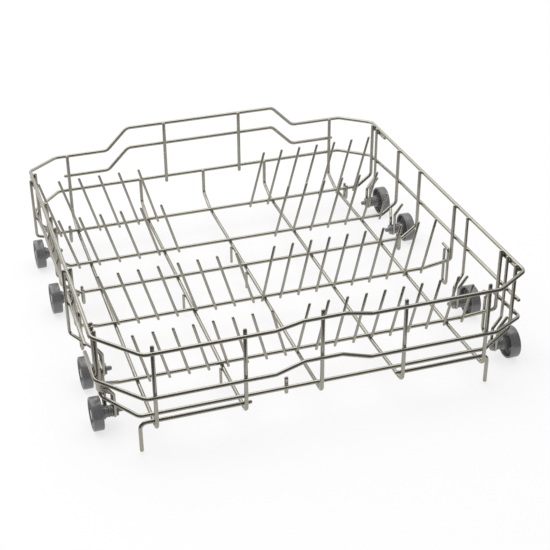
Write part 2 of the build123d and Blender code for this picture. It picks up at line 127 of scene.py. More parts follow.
# Tine rows: cross wire, side, first and last foot, pitch, lean, top, top of the last tine
TINE_ROWS = (
    ("rear", "left", -0.226, -0.083, 0.0286, -0.025, 0.1175, 0.1175),
    ("rear", "right", 0.058, 0.223, 0.0275, 0.023, 0.116, 0.116),
    ("second", "left", -0.217, -0.076, 0.0282, -0.023, 0.108, 0.108),
    ("second", "right", 0.065, 0.2258, 0.0268, 0.021, 0.107, 0.070),
    ("third", "left", -0.196, -0.0168, 0.0256, -0.023, 0.1085, 0.1085),
    ("third", "right", -0.006, 0.2199, 0.0251, 0.018, 0.1095, 0.1095),
    ("front", "left", -0.186, -0.0159, 0.0243, -0.018, 0.0985, 0.0985),
    ("front", "right", -0.0015, 0.219, 0.0245, 0.016, 0.0985, 0.083),
)
TINE_FOOT_DROP = 0.0025
TINE_FOOT_LIFT = 0.0007

# Wheels and hubs
WHEEL_RADIUS = 0.0203
WHEEL_WIDTH = 0.0125
WHEEL_RIM = 0.0031
WHEEL_RECESS = 0.0024
WHEEL_CUP = 0.0044
WHEEL_WEB = 0.0016
WHEEL_DRAFT = 0.0007
AXLE_RADIUS = 0.0045
AXLE_CLEARANCE = 0.00005
AXLE_PLAY = 0.0002
BOSS_WALL = 0.0028
HEAD_RADIUS = 0.006
HEAD_THICKNESS = 0.0018
HEAD_FLAT = 0.0033
COLLAR_RADIUS = 0.0087
COLLAR_LENGTH = 0.0032
HUB_RADIUS = 0.0072
HUB_LENGTH = 0.0093
NECK_RADIUS = 0.0046
NECK_CLEARANCE = 0.0002
FLANGE_LENGTH = 0.0021
TAIL_RADIUS = 0.003
TAIL_LENGTH = 0.007
GROOVE_DEPTH = 0.0007
GROOVES = ((0.30, 0.44), (0.62, 0.76))

# Wheel carriers and hooks. An upright has its side of the rim, its setback and the height of its bend,
# and the carrier without one is a hairpin on a cross wire.
INSIDE = -1
OUTSIDE = 1
CARRIER_UPRIGHT = {
    "left": (
        (OUTSIDE, 0.009, 0.045),
        (INSIDE, 0.016, 0.045),
        (OUTSIDE, 0.053, 0.046),
        (INSIDE, 0.001, 0.053),
    ),
    "right": (
        (INSIDE, 0.017, 0.053),
        None,
        (INSIDE, 0.015, 0.053),
        (INSIDE, 0.010, 0.053),
    ),
}
HAIRPIN_WIRE = "second"
CARRIER_LOOP_HEIGHT = 0.040
CARRIER_FREE_HEIGHT = 0.047
CARRIER_FREE_RISE = 0.015
CARRIER_FREE_OUT = 0.0105
HAIRPIN_SHARE = 0.55
HAIRPIN_HEIGHT = 0.036
HOOK_BEND = 0.0045
HOOK_PLACES = (("rear", 0.019), ("middle", 0.005), ("third", 0.005), ("front", 0.008))
HOOK_BOTTOM = 0.017
HOOK_SHORT_RISE = 0.007
HOOK_TALL_TOP = 0.072
HOOK_BAR = 0.017

# Finishes: scale of the noise per metre, then its lowest and highest value
NOISE_DETAIL = 3.0
WIRE_METALLIC = 0.90
WIRE_TINT = (55.0, 0.88, 1.12)
WIRE_ROUGHNESS = (180.0, 0.15, 0.24)
WIRE_PEEL = (1500.0, 0.0, 1.0)
WIRE_PEEL_STRENGTH = 0.12
PLASTIC_SPECULAR = 0.9
PLASTIC_TINT = (90.0, 0.94, 1.06)
PLASTIC_GRAIN = (2600.0, 0.0, 1.0)
PLASTIC_GRAIN_STRENGTH = 0.18
WHEEL_ROUGHNESS = (260.0, 0.22, 0.34)
HUB_ROUGHNESS = (260.0, 0.16, 0.28)
RELIEF_DEPTH = 0.0001

# Stage
WHITE = (1.0, 1.0, 1.0, 1.0)
FLOOR_ROUGHNESS = 0.9
FLOOR_WHITE_FROM = 0.6
FLOOR_WHITE_TO = 1.8
CARD_ROUGHNESS = 0.95
CARD_SIDES = 96
PICTURE_SIZE = 550.0
SENSOR_WIDTH = 36.0

# Meshes
SMOOTH_ANGLE = math.radians(40.0)
EDGE_ANGLE = math.radians(35.0)
EDGE_STEPS = 3
MERGE_DISTANCE = 1e-6
SPAN_SLACK = 0.002
CLOSING_SHARE = 0.8
SHAPE_DIGITS = 7

SIDES = {"left": -1, "right": 1}
BODY = "frame"

# A bent wire: corner points, radius, radius of each bend, and whether it runs round to its start
Run = namedtuple("Run", "points radius bends closed")


class BasketWires(PropertyGroup):
    """Wire sizes of the basket and how finely they are drawn."""

    frame_wire: FloatProperty(
        name="Frame wire", description="Diameter of the frame's coated wire", default=0.0048, unit="LENGTH"
    )
    tine_wire: FloatProperty(
        name="Tine wire", description="Diameter of the tines and floor pins", default=0.0036, unit="LENGTH"
    )
    hook_wire: FloatProperty(
        name="Hook wire", description="Diameter of hooks and wheel carriers", default=0.0040, unit="LENGTH"
    )
    sides: IntProperty(name="Sides", description="Sides of a wire's round section", default=20, min=8)
    bend_steps: IntProperty(name="Bend steps", description="Steps round each bend", default=8, min=3)
    dome_steps: IntProperty(name="Dome steps", description="Rings of a rounded wire end", default=4, min=2)
    weld_spread: FloatProperty(
        name="Weld spread", description="Weld width as a share of the thinner wire", default=1.02
    )
    weld_thickness: FloatProperty(
        name="Weld thickness", description="Weld thickness as a share of the thinner wire", default=0.52
    )


class BasketWheels(PropertyGroup):
    """How the moulded wheels and hubs are drawn."""

    segments: IntProperty(name="Segments", description="Steps round a turned piece", default=72, min=16)
    wheel_edge: FloatProperty(
        name="Wheel edge", description="Rounding of the wheels' edges", default=0.0009, unit="LENGTH"
    )
    hub_edge: FloatProperty(
        name="Hub edge", description="Rounding of the hubs' edges", default=0.00027, unit="LENGTH"
    )


class BasketFinish(PropertyGroup):
    """Colours of the basket."""

    wire: FloatVectorProperty(
        name="Wire", description="Coated wire", subtype="COLOR", size=3, default=(0.345, 0.331, 0.284)
    )
    wheel: FloatVectorProperty(
        name="Wheel", description="Wheel plastic", subtype="COLOR", size=3, default=(0.132, 0.136, 0.134)
    )
    hub: FloatVectorProperty(
        name="Hub", description="Hub plastic", subtype="COLOR", size=3, default=(0.165, 0.169, 0.166)
    )
    floor: FloatVectorProperty(
        name="Floor", description="Studio floor", subtype="COLOR", size=3, default=(0.92, 0.92, 0.92)
    )


class BasketStage(PropertyGroup):
    """Studio floor, lamp, dark card and camera."""

    floor_size: FloatProperty(
        name="Floor size", description="Side of the floor", default=16.0, unit="LENGTH"
    )
    floor_glow: FloatProperty(
        name="Floor glow", description="Share of plain white on the floor by the basket", default=0.72
    )
    key_power: FloatProperty(name="Key power", description="Power of the overhead lamp", default=72.0)
    key_size: FloatProperty(
        name="Key size", description="Side of the overhead lamp", default=4.0, unit="LENGTH"
    )
    key_place: FloatVectorProperty(
        name="Key place", description="Place of the overhead lamp", subtype="TRANSLATION", size=3,
        default=(-0.5, 0.9, 2.4),
    )
    sky: FloatProperty(name="Sky", description="Strength of the world's light", default=0.57)
    card_tone: FloatProperty(name="Card tone", description="Brightness of the dark card", default=0.08)
    card_radius: FloatProperty(
        name="Card radius", description="Radius of the card round the basket", default=0.45, unit="LENGTH"
    )
    card_front: FloatProperty(
        name="Card front", description="Height of the card before the basket", default=1.4, unit="LENGTH"
    )
    card_rear: FloatProperty(
        name="Card rear", description="Height of its slanted edge at the back", default=-1.6, unit="LENGTH"
    )
    eye: FloatVectorProperty(
        name="Eye", description="Place of the camera", subtype="TRANSLATION", size=3,
        default=(-0.41179, -1.34150, 0.88268),
    )
    azimuth: FloatProperty(
        name="Azimuth", description="Turn of the view from straight back towards the right",
        default=0.29147, subtype="ANGLE",
    )
    pitch: FloatProperty(name="Pitch", description="Fall of the view", default=0.53836, subtype="ANGLE")
    roll: FloatProperty(name="Roll", description="Turn about the view", default=-0.01761, subtype="ANGLE")
    focal_pixels: FloatProperty(
        name="Focal length", description="Focal length in pixels of the picture", default=1225.8
    )
    centre_x: FloatProperty(name="Centre X", description="Column that the view is aimed at", default=250.0)
    centre_y: FloatProperty(name="Centre Y", description="Row that the view is aimed at", default=275.0)


SETTINGS = {
    "basket_wires": BasketWires,
    "basket_wheels": BasketWheels,
    "basket_finish": BasketFinish,
    "basket_stage": BasketStage,
}


def settings():
    """The four groups of settings of the scene."""
    return [getattr(bpy.context.scene, name) for name in SETTINGS]


class Places:
    """Places that follow from the sizes above and from the wire diameters."""

    def __init__(self, wires):
        self.frame_radius = wires.frame_wire / 2
        self.tine_radius = wires.tine_wire / 2
        self.hook_radius = wires.hook_wire / 2
        self.frame_touch = wires.frame_wire + WELD_GAP
        self.hook_touch = self.frame_radius + self.hook_radius + WELD_GAP
        self.tine_touch = self.frame_radius + self.tine_radius + WELD_GAP
        self.leg_x = RIM_HALF_WIDTH - self.frame_touch
        self.upright_y = RIM_HALF_DEPTH - self.frame_touch
        self.inner_rail_y = self.upright_y - self.frame_touch
        self.cross_z = GRID_HEIGHT + self.frame_touch / 2
        self.long_z = GRID_HEIGHT - self.frame_touch / 2
        outer = RIM_HALF_WIDTH - LONG_INSET
        self.long_x = (-outer, -LONG_INNER_X, 0.0, LONG_INNER_X, outer)
        self.collar_start = WHEEL_WIDTH + AXLE_PLAY * 2
        self.neck_start = self.collar_start + COLLAR_LENGTH + HUB_LENGTH
        self.neck_end = self.neck_start + wires.hook_wire + NECK_CLEARANCE * 2
        self.loop_inset = (self.neck_start + self.neck_end) / 2 - WHEEL_WIDTH / 2
        self.loop_radius = NECK_RADIUS + self.hook_radius + WELD_GAP

    def rim_height(self, y):
        """Height of the rim, which climbs evenly from back to front."""
        share = (RIM_HALF_DEPTH - y) / (2 * RIM_HALF_DEPTH)
        return RIM_REAR_HEIGHT + share * (RIM_FRONT_HEIGHT - RIM_REAR_HEIGHT)


def corner_y(side):
    """Where a side wire turns into the front corner."""
    return FRONT_CORNER_DEPTH[side] - RIM_HALF_DEPTH


def run(points, radius, bends, closed=False):
    """A bent wire; one bend radius may stand for all."""
    corners = len(points) if closed else len(points) - 2
    if not isinstance(bends, (list, tuple)):
        bends = [bends] * corners
    return Run([Vector(p) for p in points], radius, list(bends), closed)


def hump_points(sign, y, height, hump):
    """Front run of a ring from its flat stretch up to the top of its hump."""
    rise, top, ramp = hump
    return [
        (HUMP_CENTRE + sign * (top + ramp), y, height),
        (HUMP_CENTRE + sign * top, y, height + rise),
    ]


def rim_side(at, side):
    """Corner points of one half of the rim, from the raised back to the hump in front."""
    sign = SIDES[side]
    rear_y = RIM_HALF_DEPTH - REAR_CORNER_DEPTH
    front_y = corner_y(side)
    points = [
        (sign * RAISE_TOP, RIM_HALF_DEPTH, RIM_REAR_HEIGHT + RAISE_HEIGHT),
        (sign * (RAISE_TOP + RAISE_RAMP), RIM_HALF_DEPTH, RIM_REAR_HEIGHT),
        (sign * (RIM_HALF_WIDTH - REAR_CORNER_WIDTH), RIM_HALF_DEPTH, RIM_REAR_HEIGHT),
        (sign * RIM_HALF_WIDTH, rear_y, at.rim_height(rear_y)),
        (sign * RIM_HALF_WIDTH, front_y, at.rim_height(front_y)),
        (sign * (RIM_HALF_WIDTH - FRONT_CORNER_WIDTH), -RIM_HALF_DEPTH, RIM_FRONT_HEIGHT),
    ]
    return points + hump_points(sign, -RIM_HALF_DEPTH, RIM_FRONT_HEIGHT, RIM_HUMP)


def top_rim_runs(at):
    """Closed rim and the four short ties under it."""
    loop = rim_side(at, "right") + rim_side(at, "left")[::-1]
    runs = [run(loop, at.frame_radius, RIM_BEND, closed=True)]
    for side, sign in SIDES.items():
        for ends in RIM_TIES[side]:
            points = [(sign * RIM_HALF_WIDTH, y, at.rim_height(y) - at.frame_touch) for y in ends]
            runs.append(run(points, at.frame_radius, RIM_BEND))
    return runs


def middle_ring_runs(at):
    """Open ring round the back and both sides."""
    kink_y, kink_height = MIDDLE_KINK
    halves = []
    for side, sign in SIDES.items():
        share = (kink_y - MIDDLE_END_Y[side]) / (kink_y - MIDDLE_END_Y["right"])
        end_height = kink_height + share * (MIDDLE_END_HEIGHT - kink_height)
        halves.append([
            (sign * (RIM_HALF_WIDTH - REAR_CORNER_WIDTH), RIM_HALF_DEPTH, MIDDLE_REAR_HEIGHT),
            (sign * RIM_HALF_WIDTH, RIM_HALF_DEPTH - REAR_CORNER_DEPTH, MIDDLE_CORNER_HEIGHT[side]),
            (sign * RIM_HALF_WIDTH, kink_y, kink_height),
            (sign * RIM_HALF_WIDTH, MIDDLE_END_Y[side], end_height),
        ])
    return [run(halves[0][::-1] + halves[1], at.frame_radius, RIM_BEND)]


def rear_rail_runs(at):
    """Rail under the raised stretch of the rim."""
    height = RIM_REAR_HEIGHT - REAR_RAIL_DROP
    right = [
        (RAISE_TOP, RIM_HALF_DEPTH, height + RAISE_HEIGHT),
        (RAISE_TOP + RAISE_RAMP, RIM_HALF_DEPTH, height),
        (at.long_x[-1] + REAR_RAIL_OVERHANG, RIM_HALF_DEPTH, height),
    ]
    left = [(-x, y, z) for x, y, z in reversed(right)]
    return [run(left + right, at.frame_radius, RIM_BEND)]


def front_ring_runs(at):
    """Front ring with its hump and a short leg back along each side."""
    halves = []
    for side, sign in SIDES.items():
        front_y = corner_y(side)
        points = [
            (sign * RIM_HALF_WIDTH, front_y + RING_LEG, RING_CORNER_HEIGHT[side] - RING_LEG_DROP),
            (sign * RIM_HALF_WIDTH, front_y, RING_CORNER_HEIGHT[side]),
            (sign * (RIM_HALF_WIDTH - FRONT_CORNER_WIDTH), -RIM_HALF_DEPTH, RING_HEIGHT),
        ]
        halves.append(points + hump_points(sign, -RIM_HALF_DEPTH, RING_HEIGHT, RING_HUMP))
    return [run(halves[0] + halves[1][::-1], at.frame_radius, RIM_BEND)]


def lower_rail_runs(at):
    """Rail inside the front uprights, bent back and up to the rim at both ends."""
    ends = []
    for side, sign in SIDES.items():
        end_y = RAIL_END_Y[side]
        ends.append([
            (sign * RAIL_CORNER_X[side], -at.inner_rail_y, RAIL_HEIGHT),
            (sign * at.leg_x, end_y, RAIL_HEIGHT),
            (sign * at.leg_x, end_y, at.rim_height(end_y) + LEG_OVERHANG),
        ])
    return [run(ends[0][::-1] + ends[1], at.frame_radius, GRID_BEND)]


def foot_wire_runs(at, side):
    """Wire inside the front uprights whose outer end is a foot."""
    sign = SIDES[side]
    points = [
        (sign * FOOT_INNER_X, -at.inner_rail_y, FOOT_WIRE_HEIGHT),
        (sign * FOOT_OUTER_X[side], -at.inner_rail_y, FOOT_WIRE_HEIGHT),
        (sign * FOOT_OUTER_X[side], -at.inner_rail_y, FOOT_CLEARANCE + at.frame_radius),
    ]
    return [run(points, at.frame_radius, GRID_BEND)]


def upright_run(at, x, y, low, high):
    """Straight upright wire of the frame."""
    return [run([(x, y, low), (x, y, high)], at.frame_radius, GRID_BEND)]


def rear_bar_runs(at, side):
    """Upright bar from the middle ring to the raised rim."""
    high = RIM_REAR_HEIGHT + RAISE_HEIGHT + LEG_OVERHANG
    low = MIDDLE_REAR_HEIGHT - REAR_BAR_OVERHANG
    return upright_run(at, SIDES[side] * REAR_BAR_X, at.upright_y, low, high)


def front_stub_runs(at):
    """Short stub behind the lower front rail."""
    y = at.frame_touch - at.inner_rail_y
    return upright_run(at, STUB_X, y, RAIL_HEIGHT - STUB_HALF_LENGTH, RAIL_HEIGHT + STUB_HALF_LENGTH)


def long_wire_runs(at, name, x):
    """Floor wire bent up into a rear leg and a front upright, with its pins."""
    centre = x == 0.0
    outer = x in (at.long_x[0], at.long_x[-1])
    rear_top = at.rim_height(at.upright_y) if outer else MIDDLE_REAR_HEIGHT
    front_top = RIM_FRONT_HEIGHT + LONG_FRONT_OVERHANG + (RIM_HUMP[0] if centre else 0.0)
    front_x = HUMP_CENTRE if centre else x
    front_low = at.long_z + (LONG_CENTRE_RISE if centre else LONG_FRONT_RISE)
    points = [
        (x, at.upright_y, rear_top + LEG_OVERHANG),
        (x, at.upright_y, LONG_REAR_BEND_HEIGHT),
        (x, CROSS_Y["rear"] + LONG_REAR_RUN, at.long_z),
        (x, CROSS_Y["front"] - LONG_REAR_RUN, at.long_z),
        (front_x, -at.upright_y, front_low),
        (front_x, -at.upright_y, front_top),
    ]
    runs = [run(points, at.frame_radius, GRID_BEND)]
    for y in FLOOR_PINS.get(name, ()):
        pin_x = x - at.tine_touch
        ends = [(pin_x, y, at.long_z + PIN_RISE), (pin_x, y, PIN_BOTTOM + at.tine_radius)]
        runs.append(run(ends, at.tine_radius, GRID_BEND))
    return runs


def cross_leg(at, wire, sign):
    """Flat end, foot and top of one leg of a cross wire."""
    y = CROSS_Y[wire]
    leg_y = y - LEG_FORWARD.get(wire, 0.0)
    leg_run, leg_rise = FORWARD_LEG_SLANT if wire in LEG_FORWARD else LEG_SLANT
    return [
        (sign * (at.leg_x - leg_run), y, at.cross_z),
        (sign * at.leg_x, leg_y, at.cross_z + leg_rise),
        (sign * at.leg_x, leg_y, at.rim_height(leg_y) + LEG_OVERHANG),
    ]


def cross_wire_runs(at, wire):
    """Floor wire across the basket with a leg at each end."""
    points = cross_leg(at, wire, -1)[::-1] + cross_leg(at, wire, 1)
    return [run(points, at.frame_radius, GRID_BEND)]


def tine_row_runs(at, wire, first, last, pitch, lean, top, last_top):
    """A row of leaning tines on the front of a cross wire."""
    y = CROSS_Y[wire] - at.tine_touch
    count = round((last - first) / pitch) + 1
    runs = []
    for step in range(count):
        x = first + step * pitch
        over_long_wire = any(abs(x - place) < at.frame_touch for place in at.long_x)
        low = GRID_HEIGHT + (TINE_FOOT_LIFT if over_long_wire else -TINE_FOOT_DROP)
        high = last_top if step == count - 1 else top
        foot = Vector((x, y, low))
        tip = Vector((x + lean * (high - low) / (top - low), y, high))
        inset = (tip - foot).normalized() * at.tine_radius
        runs.append(run([foot + inset, tip - inset], at.tine_radius, GRID_BEND))
    return runs


def carrier_start(at, side, number, axle):
    """Points of a carrier from what holds it down to the top of its loop."""
    sign = SIDES[side]
    loop_x = axle.x - sign * at.loop_inset
    upright = CARRIER_UPRIGHT[side][number]
    if upright:
        face, setback, bend_height = upright
        upright_x = sign * (RIM_HALF_WIDTH + face * at.hook_touch)
        upright_y = axle.y + setback
        return [
            (upright_x, upright_y, at.rim_height(upright_y) + LEG_OVERHANG),
            (upright_x, upright_y, bend_height),
            (loop_x, axle.y + at.loop_radius, CARRIER_LOOP_HEIGHT),
        ]
    flat_end, leg_foot = [Vector(p) for p in cross_leg(at, HAIRPIN_WIRE, sign)[:2]]
    weld = flat_end.lerp(leg_foot, HAIRPIN_SHARE)
    return [
        (weld.x, weld.y - at.hook_touch, weld.z),
        (loop_x, axle.y + at.loop_radius, HAIRPIN_HEIGHT),
    ]


def carrier_runs(at, side, number, axle):
    """Bent wire that hangs from the frame and loops under a hub's neck."""
    start = carrier_start(at, side, number, axle)
    x, near_y, _ = start[-1]
    far_y = 2 * axle.y - near_y
    loop_low = WHEEL_RADIUS - at.loop_radius
    free_x = x + SIDES[side] * CARRIER_FREE_OUT
    loop = [
        (x, near_y, loop_low),
        (x, far_y, loop_low),
        (x, far_y, CARRIER_FREE_HEIGHT),
        (free_x, far_y, CARRIER_FREE_HEIGHT + CARRIER_FREE_RISE),
    ]
    bends = [HOOK_BEND] * (len(start) - 1) + [at.loop_radius - WELD_GAP] * 2 + [HOOK_BEND]
    return [run(start + loop, at.hook_radius, bends)]


def hook_runs(at, wire, setback, sign):
    """U-shaped hook astride the end of a cross wire; the front ones have a bar on top."""
    flat_end, leg_foot = [Vector(p) for p in cross_leg(at, wire, 1)[:2]]
    slanted = wire in LEG_FORWARD
    if slanted:
        slant = leg_foot - flat_end
        x = at.leg_x - setback
        middle_y = leg_foot.y - setback * slant.y / slant.x
        half_gap = at.hook_touch * math.hypot(slant.x, slant.y) / slant.x
        back_top = HOOK_TALL_TOP - at.hook_radius * 2 - WELD_GAP
    else:
        x = flat_end.x - setback
        middle_y = flat_end.y
        half_gap = at.hook_touch
        back_top = at.cross_z + HOOK_SHORT_RISE
    back_y = middle_y + half_gap
    front_y = middle_y - half_gap
    points = [
        (sign * x, back_y, back_top - at.hook_radius),
        (sign * x, back_y, HOOK_BOTTOM),
        (sign * x, front_y, HOOK_BOTTOM),
    ]
    bends = [half_gap - WELD_GAP] * 2
    if slanted:
        points += [(sign * x, front_y, HOOK_TALL_TOP), (sign * x, front_y + HOOK_BAR, HOOK_TALL_TOP)]
        bends.append(HOOK_BEND)
    else:
        points.append((sign * x, front_y, back_top - at.hook_radius))
    return [run(points, at.hook_radius, bends)]


def axles():
    """Wheel body, side, number on its side and axle point of every rolling joint."""
    found = []
    for joint in frame["joints"]:
        wheel = joint["child"]
        side, number = wheel.split("_")[1:]
        found.append((wheel, side, int(number) - 1, Vector(joint["pos_m"])))
    return found


def wire_groups(at):
    """Every wire node of the frame with its runs, by group."""
    rings = {
        "top_rim": top_rim_runs(at),
        "middle_ring": middle_ring_runs(at),
        "rear_rail": rear_rail_runs(at),
        "front_ring": front_ring_runs(at),
        "lower_front_rail": lower_rail_runs(at),
    }
    grid = {}
    for number, x in enumerate(at.long_x, start=1):
        name = f"long_wire_{number}"
        grid[name] = long_wire_runs(at, name, x)
    for number, wire in enumerate(CROSS_Y, start=1):
        grid[f"cross_wire_{number}"] = cross_wire_runs(at, wire)
    tines = {f"tines_{wire}_{side}": tine_row_runs(at, wire, *row) for wire, side, *row in TINE_ROWS}
    posts = {"front_stub": front_stub_runs(at)}
    clips = {}
    for side, sign in SIDES.items():
        posts[f"rear_bar_{side}"] = rear_bar_runs(at, side)
        posts[f"foot_wire_{side}"] = foot_wire_runs(at, side)
        for number, (wire, setback) in enumerate(HOOK_PLACES, start=1):
            clips[f"hook_{side}_{number}"] = hook_runs(at, wire, setback, sign)
    for _, side, number, axle in axles():
        clips[f"carrier_{side}_{number + 1}"] = carrier_runs(at, side, number, axle)
    return {"rings": rings, "grid": grid, "tines": tines, "posts": posts, "clips": clips}


def select_only(obj):
    """Leave obj selected and active, and nothing else."""
    bpy.ops.object.select_all(action="DESELECT")
    obj.select_set(True)
    bpy.context.view_layer.objects.active = obj


def push(offset):
    """Extrude the selected ring along offset."""
    bpy.ops.mesh.extrude_region_move(TRANSFORM_OT_translate={"value": offset})


def scale_ring(factor, centre):
    """Scale the selected ring about its own centre."""
    bpy.ops.transform.resize(value=(factor, factor, factor), center_override=centre)


def start_ring(name, centre, heading, radius, sides):
    """A new object holding one ring across heading, in edit mode with the ring selected."""
    bpy.ops.object.select_all(action="DESELECT")
    turn = heading.to_track_quat("Z", "Y").to_euler()
    bpy.ops.mesh.primitive_circle_add(vertices=sides, radius=radius, location=centre, rotation=turn)
    obj = bpy.context.object
    obj.name = name
    obj.data.name = name
    bpy.ops.object.transform_apply(location=True, rotation=True, scale=True)
    bpy.ops.object.mode_set(mode="EDIT")
    bpy.ops.mesh.select_all(action="SELECT")
    return obj


def select_first_ring(obj, sides, keep=False):
    """Select the ring that a piece was started with, alone or beside what is selected."""
    if not keep:
        bpy.ops.mesh.select_all(action="DESELECT")
    mesh = bmesh.from_edit_mesh(obj.data)
    mesh.verts.ensure_lookup_table()
    for vertex in mesh.verts[:sides]:
        vertex.select = True
    mesh.select_flush(True)
    bmesh.update_edit_mesh(obj.data)


def round_end(centre, heading, radius, steps):
    """Close the selected ring with a dome that points along heading."""
    level = 0.0
    size = 1.0
    for step in range(1, steps):
        angle = math.pi / 2 * step / steps
        push(heading * radius * (math.sin(angle) - level))
        level = math.sin(angle)
        scale_ring(math.cos(angle) / size, centre + heading * radius * level)
        size = math.cos(angle)
    push(heading * radius * (1.0 - level))
    bpy.ops.mesh.merge(type="CENTER")


def finish_mesh():
    """Merge doubles, turn every face outwards and leave edit mode."""
    bpy.ops.mesh.select_all(action="SELECT")
    bpy.ops.mesh.remove_doubles(threshold=MERGE_DISTANCE)
    bpy.ops.mesh.normals_make_consistent(inside=False)
    bpy.ops.object.mode_set(mode="OBJECT")


def turn_corner(corner, before, after, bend):
    """Start of a bend, its centre, its axis and its angle."""
    angle = before.angle(after)
    axis = before.cross(after).normalized()
    start = corner - before * bend * math.tan(angle / 2)
    return start, start + axis.cross(before) * bend, axis, angle


def draw_wire(name, wire, look):
    """Push a round section along a wire's straight runs and spin it round each bend."""
    points = wire.points
    if wire.closed:
        seam = points[-1].lerp(points[0], 0.5)
        points = [seam, *points, seam]
    headings = [(b - a).normalized() for a, b in zip(points, points[1:])]
    obj = start_ring(name, points[0], headings[0], wire.radius, look.sides)
    here = points[0]
    for corner, before, after, bend in zip(points[1:], headings, headings[1:], wire.bends):
        start, centre, axis, angle = turn_corner(corner, before, after, bend)
        push(start - here)
        bpy.ops.mesh.spin(steps=look.bend_steps, angle=-angle, center=centre, axis=axis)
        here = corner + after * (corner - start).length
    if wire.closed:
        close_loop(obj, headings[-1], (points[-1] - here).length, look.sides)
    else:
        push(points[-1] - here)
        round_end(points[-1], headings[-1], wire.radius, look.dome_steps)
        select_first_ring(obj, look.sides)
        round_end(points[0], -headings[0], wire.radius, look.dome_steps)
    finish_mesh()
    return obj


def close_loop(obj, heading, distance, sides):
    """Push the last ring most of the way to the first one and bridge the two."""
    push(heading * distance * CLOSING_SHARE)
    select_first_ring(obj, sides, keep=True)
    bpy.ops.mesh.bridge_edge_loops()


drawn_shapes = {}


def shape_key(wire):
    """What two wires of the same form have in common, wherever they stand."""
    steps = [p - wire.points[0] for p in wire.points]
    return tuple(round(c, SHAPE_DIGITS) for step in steps for c in step) + (wire.radius,)


def wire_object(name, wire, look):
    """A wire drawn from its run, or a copy of one of the same form moved to its place."""
    key = shape_key(wire)
    if wire.closed or key not in drawn_shapes:
        obj = draw_wire(name, wire, look)
        drawn_shapes[key] = (obj.data.copy(), wire.points[0])
        return obj
    mesh, place = drawn_shapes[key]
    obj = bpy.data.objects.new(name, mesh.copy())
    obj.data.transform(Matrix.Translation(wire.points[0] - place))
    bpy.context.scene.collection.objects.link(obj)
    return obj


def join_into(objects):
    """Join several objects into the first."""
    select_only(objects[0])
    for obj in objects[1:]:
        obj.select_set(True)
    if len(objects) > 1:
        bpy.ops.object.join()
    return objects[0]


def dress(obj, body, material, nodes=()):
    """Smooth a finished piece, give it its finish and let it ride on its body."""
    select_only(obj)
    bpy.ops.object.shade_smooth_by_angle(angle=SMOOTH_ANGLE)
    obj.data.materials.clear()
    obj.data.materials.append(material)
    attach(obj, body)
    if nodes:
        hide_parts(*nodes)


def add_wire_group(group):
    """Draw every wire node of a group in place of its plain solid."""
    look = bpy.context.scene.basket_wires
    finish = wire_finish()
    for name, runs in wire_groups(Places(look))[group].items():
        objects = [wire_object(f"{name}_wire", wire, look) for wire in runs]
        dress(join_into(objects), BODY, finish, [name])


def weld_points(at):
    """Place, direction across and along, and thinner radius of every spot where two wires touch."""
    wires = [wire for group in wire_groups(at).values() for runs in group.values() for wire in runs]
    spans = []
    for number, wire in enumerate(wires):
        points = wire.points + wire.points[:1] if wire.closed else wire.points
        spans += [(number, wire.radius, a, b) for a, b in zip(points, points[1:])]
    found = []
    for index, (first, first_radius, a0, a1) in enumerate(spans):
        for second, second_radius, b0, b1 in spans[index + 1:]:
            touch = first_radius + second_radius
            if first == second or apart(a0, a1, b0, b1, touch + WELD_REACH):
                continue
            pair = intersect_line_line(a0, a1, b0, b1)
            if pair is None or not (within(pair[0], a0, a1) and within(pair[1], b0, b1)):
                continue
            across = pair[1] - pair[0]
            if abs(across.length - touch) < WELD_REACH:
                place = pair[0] + across.normalized() * first_radius
                thinner = min(first_radius, second_radius)
                found.append((place, across.normalized(), (a1 - a0).normalized(), thinner))
    return found


def apart(a0, a1, b0, b1, reach):
    """Whether the boxes of two spans lie further apart than reach."""
    for axis in range(3):
        low = max(min(a0[axis], a1[axis]), min(b0[axis], b1[axis]))
        high = min(max(a0[axis], a1[axis]), max(b0[axis], b1[axis]))
        if low - high > reach:
            return True
    return False


def within(point, a, b):
    """Whether a point of the line through a and b lies on the span between them."""
    share = (point - a).dot(b - a) / (b - a).length_squared
    return -SPAN_SLACK <= share <= 1.0 + SPAN_SLACK


def draw_weld(look):
    """One weld: a sphere of unit radius pressed flat."""
    bpy.ops.object.select_all(action="DESELECT")
    bpy.ops.mesh.primitive_uv_sphere_add(segments=WELD_SEGMENTS, ring_count=WELD_RINGS, radius=1.0)
    weld = bpy.context.object
    bpy.ops.object.mode_set(mode="EDIT")
    bpy.ops.mesh.select_all(action="SELECT")
    flat = (look.weld_spread, look.weld_spread, look.weld_thickness)
    bpy.ops.transform.resize(value=flat, center_override=(0.0, 0.0, 0.0))
    bpy.ops.object.mode_set(mode="OBJECT")
    return weld


def lathe(name, stations, segments):
    """A turned piece along X: a ring pushed and scaled from station to station of (place, radius)."""
    place, radius = stations[0]
    obj = start_ring(name, Vector((place, 0.0, 0.0)), Vector((1.0, 0.0, 0.0)), radius, segments)
    for next_place, next_radius in stations[1:]:
        push(Vector((next_place - place, 0.0, 0.0)))
        scale_ring(next_radius / radius, Vector((next_place, 0.0, 0.0)))
        place, radius = next_place, next_radius
    return obj


def round_edges(obj, width):
    """Round the moulded edges of a turned piece."""
    select_only(obj)
    bevel = obj.modifiers.new("moulded edges", "BEVEL")
    bevel.width = width
    bevel.segments = EDGE_STEPS
    bevel.limit_method = "ANGLE"
    bevel.angle_limit = EDGE_ANGLE
    bpy.ops.object.modifier_apply(modifier=bevel.name)


